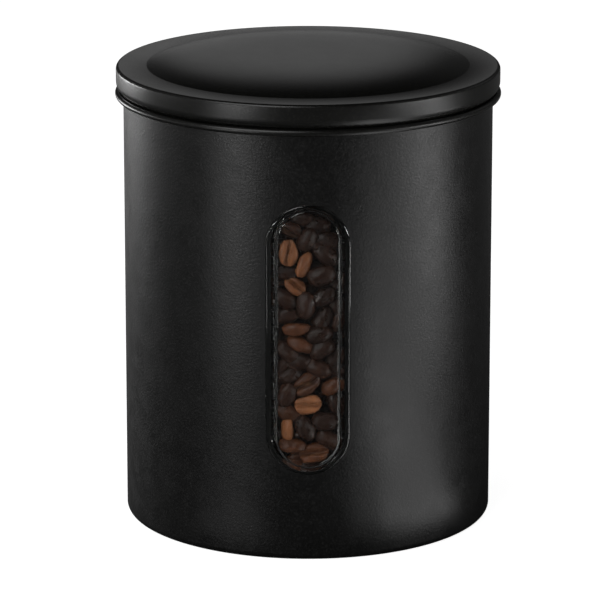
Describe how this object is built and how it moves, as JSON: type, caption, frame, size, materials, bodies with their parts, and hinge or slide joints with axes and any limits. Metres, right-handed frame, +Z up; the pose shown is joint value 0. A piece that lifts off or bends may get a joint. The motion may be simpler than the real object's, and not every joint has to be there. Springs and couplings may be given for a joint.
{
  "type": "coffee canister",
  "caption": "Round steel canister with a tall clear window in its wall and a lift-off lid with a raised middle, an inner plug and a seal.",
  "frame": {"origin": "middle of the underside, in the plane of the surface that the canister stands on", "axes": "+Z up along the barrel's axis; the window faces -Y; +X to the right of someone looking at the window"},
  "size_m": [0.1608, 0.1608, 0.197],
  "materials": {
    "barrel_coat": "fine-grained matt black powder coat on sheet steel",
    "base_coat": "fine-grained matt black powder coat on sheet steel",
    "pane_plastic": "clear moulded plastic, polished",
    "gasket_silicone": "matt silicone",
    "frame_plastic": "moulded, fine texture",
    "lid_coat": "smoother satin black coat on sheet steel",
    "insert_plastic": "moulded, satin",
    "seal_silicone": "matt silicone"
  },
  "bodies": {
    "canister": {"barrel": "barrel_coat", "base": "base_coat", "window_pane": "pane_plastic", "window_gasket": "gasket_silicone", "window_frame": "frame_plastic"},
    "lid": {"lid_cover": "lid_coat", "lid_insert": "insert_plastic", "lid_seal": "seal_silicone"}
  },
  "joints": [
    {"name": "lid_lift", "type": "slide", "parent": "canister", "child": "lid", "axis": [0, 0, 1], "range_m": [0, 0.12]}
  ]
}
